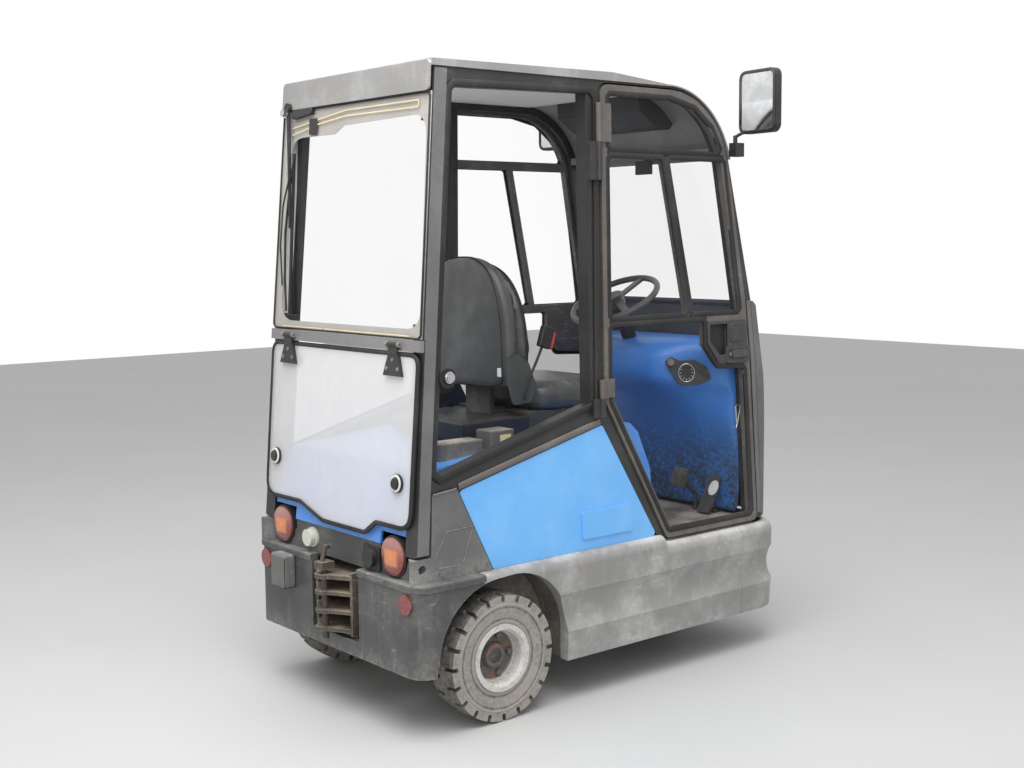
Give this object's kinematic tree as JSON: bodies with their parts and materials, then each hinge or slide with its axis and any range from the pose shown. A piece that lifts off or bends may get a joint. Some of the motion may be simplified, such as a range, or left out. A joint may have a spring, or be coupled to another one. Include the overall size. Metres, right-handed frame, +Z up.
{
  "type": "tow tractor",
  "caption": "Three-wheeled electric tow tractor with a glazed cab, two hinged doors, a rear hatch, a steered front wheel and a stepped tow coupling.",
  "frame": {"origin": "centre of the footprint on the ground, under the middle of the overall box", "axes": "+X forward, +Y to the left, +Z up from the ground"},
  "size_m": [1.842, 1.2994, 2.1739],
  "materials": {
    "grey_cast": "worn satin",
    "dark_steel": "matt",
    "battery_block": "matt",
    "blue_paint": "gloss",
    "grey_paint": "satin",
    "black_plastic": "satin",
    "red_lens": "gloss",
    "button_plastic": "satin",
    "worn_steel": "worn",
    "lamp_glass": "gloss",
    "frame_paint": "worn satin",
    "roof_paint": "satin",
    "clear_glass": "gloss",
    "tinted_glass": "gloss",
    "seat_cover": "satin",
    "tyre": "dusty matt",
    "rubber": "matt",
    "rim_paint": "worn"
  },
  "bodies": {
    "body": {"rear_body": "grey_cast", "chassis": "dark_steel", "drive_axle": "dark_steel", "battery": "battery_block", "hood": "blue_paint", "side_panels": "blue_paint", "corner_covers": "grey_paint", "rear_panel": "grey_paint", "rear_fittings": "black_plastic", "rear_lenses": "red_lens", "push_button": "button_plastic", "coupling": "worn_steel", "coupling_pin": "worn_steel", "side_skirts": "grey_cast", "front_bumper": "grey_cast", "front_cowl": "grey_paint", "headlamps": "lamp_glass", "side_frames": "frame_paint", "cross_rails": "frame_paint", "roof": "roof_paint", "cab_glass": "clear_glass", "seat_cushion": "seat_cover", "seat_back": "seat_cover", "seat_base": "dark_steel", "dash": "blue_paint", "instrument_panel": "black_plastic", "roof_console": "black_plastic", "rear_surround": "frame_paint", "door_buffers": "rubber", "steering_column": "black_plastic", "pedals": "dark_steel", "mirrors": "black_plastic", "wipers": "black_plastic"},
    "door_left": {"door_frame_left": "frame_paint", "door_glass_left": "clear_glass", "door_latch_left": "black_plastic"},
    "door_right": {"door_frame_right": "frame_paint", "door_glass_right": "clear_glass", "door_latch_right": "black_plastic"},
    "hatch": {"hatch_pane": "tinted_glass", "hatch_fittings": "black_plastic"},
    "rear_wheel_left": {"tyre_rear_left": "tyre", "rim_rear_left": "rim_paint"},
    "rear_wheel_right": {"tyre_rear_right": "tyre", "rim_rear_right": "rim_paint"},
    "fork": {"steering_fork": "dark_steel"},
    "front_wheel": {"tyre_front": "tyre", "rim_front": "rim_paint"},
    "hand_wheel": {"steering_wheel": "black_plastic"}
  },
  "joints": [
    {"name": "door_left_hinge", "type": "hinge", "parent": "body", "child": "door_left", "pos_m": [-0.058, 0.4865, 0.00018], "axis": [0, -0.0178, 0.9998], "range_deg": [0, 172]},
    {"name": "door_right_hinge", "type": "hinge", "parent": "body", "child": "door_right", "pos_m": [-0.058, -0.4865, 0.00018], "axis": [0, 0.0178, 0.9998], "range_deg": [-172, 0]},
    {"name": "hatch_hinge", "type": "hinge", "parent": "body", "child": "hatch", "pos_m": [-0.82357, 0, 1.24597], "axis": [0, 1, 0], "range_deg": [0, 85]},
    {"name": "rear_wheel_left_spin", "type": "hinge", "parent": "body", "child": "rear_wheel_left", "pos_m": [-0.528, 0.433, 0.2115], "axis": [0, 1, 0], "continuous": true},
    {"name": "rear_wheel_right_spin", "type": "hinge", "parent": "body", "child": "rear_wheel_right", "pos_m": [-0.528, -0.433, 0.2115], "axis": [0, 1, 0], "continuous": true},
    {"name": "steering", "type": "hinge", "parent": "body", "child": "fork", "pos_m": [0.605, 0, 0.2115], "axis": [0, 0, 1], "range_deg": [-70, 70]},
    {"name": "front_wheel_spin", "type": "hinge", "parent": "fork", "child": "front_wheel", "pos_m": [0.605, 0, 0.2115], "axis": [0, 1, 0], "continuous": true},
    {"name": "hand_wheel_turn", "type": "hinge", "parent": "body", "child": "hand_wheel", "pos_m": [0.452, 0, 1.331], "axis": [-0.4695, 0, 0.8829], "range_deg": [-360, 360]}
  ],
  "couplings": [
    {"joint": "hand_wheel_turn", "follows": "steering", "ratio": 5}
  ]
}
